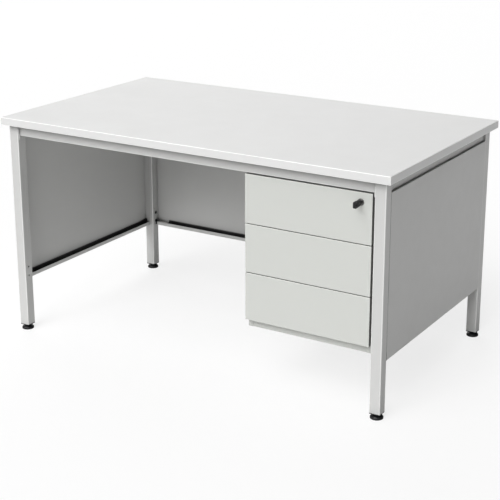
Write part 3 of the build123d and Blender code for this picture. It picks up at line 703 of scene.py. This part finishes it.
def screw_sizes(points):
    """Seat, pointing direction, shank and head sizes of a CAD screw, read from its vertices."""
    low, high = corners_of(points)
    extent = high - low
    centre = (low + high) / 2
    along = max(range(3), key=lambda axis: extent[axis])

    def radius_at(point):
        return math.sqrt(sum((point[axis] - centre[axis]) ** 2 for axis in range(3) if axis != along))

    head_radius = max(radius_at(point) for point in points)
    head = [point[along] for point in points if radius_at(point) > 0.95 * head_radius]
    shank = [point for point in points if not min(head) - 1e-6 < point[along] < max(head) + 1e-6]
    shank_radius = max(radius_at(point) for point in shank)
    at_low_end = min(head) - low[along] < high[along] - max(head)
    direction = Vector([0.0, 0.0, 0.0])
    direction[along] = 1.0 if at_low_end else -1.0
    seat = centre.copy()
    seat[along] = max(head) if at_low_end else min(head)
    length = (high[along] - seat[along]) if at_low_end else (seat[along] - low[along])
    return seat, direction, shank_radius, length, head_radius, max(head) - min(head)


def real_screws(node, kind):
    """Threaded screws with recessed heads in place of a node of plain ones."""
    bm = bmesh.new()
    for points in solids(node):
        seat, direction, shank, length, head, height = screw_sizes(points)
        screw_head(bm, seat, -direction, head * 0.99, height, kind)
        threaded_rod(bm, seat, direction, shank * 0.98, length, shank * 0.85, shank * 0.16, 16, 4)
    stand_in(node, bm)


def rounded_bar(bm, centre, size, radius):
    """Small bar with rounded edges."""
    before = set(bm.verts)
    bmesh.ops.create_cube(bm, size=1.0)
    fresh = [vertex for vertex in bm.verts if vertex not in before]
    for vertex in fresh:
        vertex.co = Vector(centre) + Vector([vertex.co[k] * size[k] for k in range(3)])
    edges = {edge for vertex in fresh for edge in vertex.link_edges}
    bmesh.ops.bevel(
        bm,
        geom=list(edges),
        offset=radius,
        offset_type="OFFSET",
        segments=3,
        profile=0.5,
        affect="EDGES",
        clamp_overlap=True,
    )


# ---------------------------------------------------------------- boards, sheet parts and runners

DRAWERS = (1, 2, 3)
RUNNER_WEB = 0.0012                  # sheet thickness of the drawer and cabinet runners
RUNNER_SCREW = (0.0031, 0.0013)      # head radius and height
SIDE_SCREW = (0.0034, 0.0008)
WELD_RADIUS = 0.0013
WELD_RIPPLE = 0.0002
WELD_PITCH = 0.0016
WELD_TOP_GAP = 0.002                 # beads stop this far below the rails' upper faces

# radius by which edges are eased, and the nodes it suits
EASED = {
    0.0006: ["pedestal_left_side", "pedestal_right_side"],
    0.0004: ["pedestal_top", "pedestal_bottom", "lock_strike", "leg_end_caps"],
    0.0003: ["pedestal_back", "lock_cam"],
    0.0005: ["front_rail_end_plates", "top_fixing_tabs"],
    0.00025: ["cabinet_runners_left", "cabinet_runners_right", "lock_plug", "key_blade"],
}
for number in DRAWERS:
    EASED[0.0006] += [f"drawer_{number}_sides", f"drawer_{number}_back"]
    EASED[0.0003] += [f"drawer_{number}_bottom"]
    EASED[0.00025] += [f"drawer_{number}_runners"]


def eased_parts():
    """Copies of the boards and sheet parts with slightly rounded edges."""
    for radius, eased_nodes in EASED.items():
        for node in eased_nodes:
            bm = welded_copy(node)
            ease(bm, radius)
            stand_in(node, bm, detail="eased")


def weld_bead(bm, start, end):
    """Rippled bead of weld from one point to another."""
    run = end - start
    along = run.normalized()
    side = along.orthogonal().normalized()
    across = along.cross(side)
    count = max(2, int(run.length / (WELD_PITCH / 4)))
    rings = []
    for index in range(count + 1):
        size = WELD_RADIUS + WELD_RIPPLE * math.sin(index * math.pi / 2)
        ring = []
        for step in range(8):
            angle = math.radians(45 * step)
            outwards = side * math.cos(angle) + across * math.sin(angle)
            ring.append(bm.verts.new(start.lerp(end, index / count) + outwards * size))
        rings.append(ring)
    for first, second in zip(rings, rings[1:]):
        for step in range(8):
            following = (step + 1) % 8
            bm.faces.new((first[step], first[following], second[following], second[step]))
    bm.faces.new(rings[0])
    bm.faces.new(rings[-1])


def rail_welds():
    """Beads down both sides and under each welded rail, where it meets its legs."""
    bm = bmesh.new()
    for rail in ("left_rail", "right_rail", "back_rail"):
        low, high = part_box(rail)
        run = 0 if high[0] - low[0] > high[1] - low[1] else 1
        wide = 1 - run
        for end in (low[run], high[run]):
            line = []
            for across, level in ((0, 1), (0, 0), (1, 0), (1, 1)):
                point = Vector((0.0, 0.0, 0.0))
                point[run] = end
                point[wide] = high[wide] if across else low[wide]
                point[2] = high[2] - WELD_TOP_GAP if level else low[2]
                line.append(point)
            for start, stop in zip(line, line[1:]):
                weld_bead(bm, start, stop)
    add_piece("rail_weld_beads", bm, "frame", "grey_powder_coat", sharp=70.0)


def cabinet_runner_screws():
    """Flat screws through the webs of the cabinet runners into the pedestal's sides."""
    bm = bmesh.new()
    for side, node in ((-1, "cabinet_runners_left"), (1, "cabinet_runners_right")):
        for points in solids(node):
            low, high = corners_of(points)
            wall = low.x if side < 0 else high.x
            level = (low.z + high.z) / 2
            for part in (0.12, 0.5, 0.93):
                seat = (wall - side * RUNNER_WEB, low.y + (high.y - low.y) * part, level)
                screw_head(bm, seat, (-side, 0, 0), *RUNNER_SCREW)
    add_piece("cabinet_runner_screw_heads", bm, "frame", "zinc_steel")


def drawer_side_screws(number):
    """Heads of the screws that join a drawer's sides to its back."""
    bm = bmesh.new()
    low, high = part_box(f"drawer_{number}_sides")
    back_low, back_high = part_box(f"drawer_{number}_back")
    y = (back_low[1] + back_high[1]) / 2
    for side, face in ((-1, low[0]), (1, high[0])):
        for part in (0.55, 0.85):
            seat = (face, y, low[2] + (high[2] - low[2]) * part)
            screw_head(bm, seat, (side, 0, 0), *SIDE_SCREW)
    add_piece(f"drawer_{number}_side_screw_heads", bm, f"drawer_{number}", "zinc_steel")


# ---------------------------------------------------------------- turned parts

ROLLER_WIDTH = 0.007
ROLLER_BORE = 0.00258

FLUTES = 24
FLUTE_DEPTH = 0.0006
FOOT_RIM = 0.0185                    # the pad is fluted outside this radius
COLLAR_APOTHEM = 0.0077
COLLAR_HEIGHTS = (0.0119, 0.0158)
STUD_START = 0.0150
STUD_RADIUS = 0.0040
STUD_PITCH = 0.00125
STUD_THREAD_DEPTH = 0.0006


def mirrored(half, length):
    """Outline of a turned part whose far half mirrors the near one."""
    return half + [(radius, length - along) for radius, along in reversed(half)]


def drawn_rollers(node):
    """Pair of rollers with recessed webs, rims and hubs."""
    low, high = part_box(node)
    radius = (high[2] - low[2]) / 2
    hub = ROLLER_BORE + 0.0016
    rim = radius - 0.0026
    face = [(hub, 0.0), (hub + 0.0003, 0.0009), (rim - 0.0003, 0.0009), (rim, 0.0)]
    tread = [(radius - 0.0006, 0.0), (radius - 0.0002, 0.0002), (radius, 0.0006)]
    outline = mirrored([(ROLLER_BORE, 0.0)] + face + tread, ROLLER_WIDTH)
    bm = bmesh.new()
    for start in (low[0], high[0] - ROLLER_WIDTH):
        origin = (start, (low[1] + high[1]) / 2, (low[2] + high[2]) / 2)
        turned(bm, origin, (1, 0, 0), outline, 48, bored=True)
    stand_in(node, bm)


def domed_bumpers():
    """Soft round pads with a domed face towards the drawer fronts."""
    bm = bmesh.new()
    for points in solids("drawer_bumpers"):
        low, high = corners_of(points)
        radius = (high.x - low.x) / 2
        depth = high.y - low.y
        outline = [(0.0, 0.0), (radius, 0.0), (radius, depth * 0.35), (radius * 0.93, depth * 0.62)]
        outline += [(radius * 0.72, depth * 0.85), (radius * 0.4, depth * 0.97), (0.0, depth)]
        turned(bm, ((low.x + high.x) / 2, high.y, (low.z + high.z) / 2), (0, -1, 0), outline, 32)
    stand_in("drawer_bumpers", bm)


def foot_reach(radius, along, angle):
    """Fluted rim of a levelling foot, and its hexagonal collar."""
    if radius > FOOT_RIM:
        return radius - FLUTE_DEPTH * (0.5 - 0.5 * math.cos(FLUTES * angle)) ** 3
    if COLLAR_HEIGHTS[0] < along < COLLAR_HEIGHTS[1]:
        sector = (angle + math.pi / 6) % (math.pi / 3) - math.pi / 6
        return COLLAR_APOTHEM / math.cos(sector)
    return radius


def levelling_foot(corner):
    """Pad with a fluted rim, hexagonal collar, and a threaded stud that goes up into the leg's cap."""
    node = f"levelling_foot_{corner}"
    low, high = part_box(node)
    origin = ((low[0] + high[0]) / 2, (low[1] + high[1]) / 2, low[2])
    radius = (high[0] - low[0]) / 2
    pad = [
        (0.0, 0.0),
        (0.0150, 0.0),
        (0.0188, 0.0001),
        (radius - 0.0003, 0.0005),
        (radius, 0.0012),
        (radius, 0.0047),
        (radius - 0.0003, 0.0054),
        (radius - 0.0010, 0.0062),
        (0.0178, 0.0081),
        (0.0169, 0.0090),
        (0.0150, 0.0097),
        (0.0105, 0.0110),
        (0.0091, 0.0117),
        (0.0088, 0.0120),
        (0.0088, 0.0157),
        (0.0076, 0.0162),
        (0.0, 0.0162),
    ]
    bm = bmesh.new()
    turned(bm, origin, (0, 0, 1), pad, 144, reach=foot_reach)
    stand_in(node, bm, sharp=32.0)
    bm = bmesh.new()
    start = (origin[0], origin[1], low[2] + STUD_START)
    length = high[2] - start[2]
    threaded_rod(bm, start, (0, 0, 1), STUD_RADIUS, length, STUD_PITCH, STUD_THREAD_DEPTH, 32, 5)
    add_piece(f"foot_stud_{corner}", bm, body_of_node[node], "zinc_steel", sharp=60.0)


# ---------------------------------------------------------------- lock and key

LOCK_BODY = 0.009                    # radius of the threaded body
LOCK_BORE = 0.006
LOCK_RING_DEPTH = 0.0025
LOCK_THREAD_PITCH = 0.001
LOCK_THREAD_DEPTH = 0.0003
BOW_FACES = 0.92                     # the bow's thickness without its ribs, of that with them
RIB_COUNT = 4
RIB_PITCH = 0.0026
RIB_START = 0.0118                   # first rib behind the bow's front end
RIB_SIZE = (0.0006, 0.0012, 0.0125)


def lock_ring():
    """Lock housing: ring with a turned groove in its face, and a threaded body through the front."""
    low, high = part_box("lock_housing")
    origin = ((low[0] + high[0]) / 2, low[1], (low[2] + high[2]) / 2)
    ring = (high[0] - low[0]) / 2
    length = high[1] - low[1]
    turns = thread(LOCK_THREAD_PITCH, LOCK_THREAD_DEPTH)
    outline = [
        (LOCK_BORE, length),
        (LOCK_BORE, 0.0002),
        (LOCK_BORE + 0.0002, 0.0),
        (ring - 0.0030, 0.0),
        (ring - 0.0027, 0.0003),
        (ring - 0.0021, 0.0003),
        (ring - 0.0018, 0.0),
        (ring - 0.0010, 0.0001),
        (ring - 0.0004, 0.0004),
        (ring, 0.0011),
        (ring, LOCK_RING_DEPTH),
        (LOCK_BODY, LOCK_RING_DEPTH),
    ]
    step = LOCK_THREAD_PITCH / 4
    for index in range(1, int((length - LOCK_RING_DEPTH) / step)):
        outline.append((LOCK_BODY, LOCK_RING_DEPTH + index * step))
    outline.append((LOCK_BODY - 0.0004, length))

    def reach(radius, along, angle):
        threaded = radius == LOCK_BODY and along > LOCK_RING_DEPTH
        return turns(radius, along, angle) if threaded else radius

    bm = bmesh.new()
    turned(bm, origin, (0, 1, 0), outline, 64, bored=True, reach=reach)
    stand_in("lock_housing", bm)


def hinge_pin():
    """Key's pivot pin with slightly domed ends."""
    low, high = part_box("key_pin")
    radius = (high[2] - low[2]) / 2
    length = high[0] - low[0]
    end = [(0.0, 0.0), (radius * 0.6, 0.00004), (radius * 0.9, 0.00014), (radius, 0.00028)]
    bm = bmesh.new()
    origin = (low[0], (low[1] + high[1]) / 2, (low[2] + high[2]) / 2)
    turned(bm, origin, (1, 0, 0), mirrored(end, length), 32)
    stand_in("key_pin", bm)


def ribbed_bow():
    """Soft-edged key bow with grip ribs on its two broad faces."""
    low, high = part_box("key_bow")
    middle = (low[0] + high[0]) / 2
    level = (low[2] + high[2]) / 2
    bm = welded_copy("key_bow")
    ease(bm, 0.0009, 3)
    for vertex in bm.verts:
        vertex.co.x = middle + (vertex.co.x - middle) * BOW_FACES
    face = (high[0] - low[0]) / 2 * BOW_FACES + 0.00002
    for side in (-1, 1):
        for index in range(RIB_COUNT):
            centre = (middle + side * face, low[1] + RIB_START + index * RIB_PITCH, level)
            rounded_bar(bm, centre, RIB_SIZE, 0.00028)
    stand_in("key_bow", bm, sharp=50.0)


def dress_own_meshes():
    """Finishes the CAD's own meshes that no piece stands for."""
    for node in sorted(nodes):
        if not nodes[node].hide_render:
            dress(nodes[node], finish_of(node))


# ---------------------------------------------------------------- the desk

eased_parts()
rail_welds()
real_screws("tabletop_screws", "cross")
real_screws("pedestal_screws", "cross")
real_screws("back_panel_screws", "hexagon")
cabinet_runner_screws()
for number in DRAWERS:
    drawer_side_screws(number)
for number in DRAWERS:
    drawn_rollers(f"drawer_{number}_rear_rollers")
    drawn_rollers(f"cabinet_{number}_front_rollers")
domed_bumpers()
for corner in ("front_left", "front_right", "back_left", "back_right"):
    levelling_foot(corner)
lock_ring()
hinge_pin()
ribbed_bow()
dress_own_meshes()
